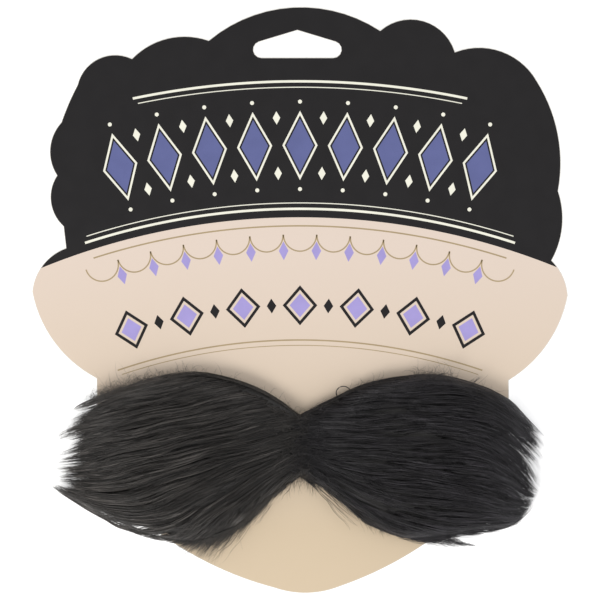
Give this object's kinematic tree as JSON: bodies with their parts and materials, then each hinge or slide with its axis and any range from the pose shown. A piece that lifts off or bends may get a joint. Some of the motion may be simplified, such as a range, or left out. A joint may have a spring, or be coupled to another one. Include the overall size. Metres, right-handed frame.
{
  "type": "fake moustache on a display card",
  "caption": "Long-haired black false moustache whose wings of fur meet in a pinched middle, stuck on a stiff die-cut card with a peaked hang slot.",
  "frame": {"origin": "the middle of the card's outline, on its back face, where the part lies on a table", "axes": "+X to the right and +Y up the card to its hang slot, seen from the front; +Z out of the printed face"},
  "size_m": [0.201, 0.22, 0.017],
  "materials": {
    "card": "printed and lightly varnished on the front, plain grey board on the back",
    "adhesive": "matt, tacky",
    "fur": "soft black synthetic hair with a silky grey sheen"
  },
  "bodies": {
    "root": {"card": "card", "sticky_strip": "adhesive", "left_wing": "fur", "right_wing": "fur"}
  },
  "joints": []
}
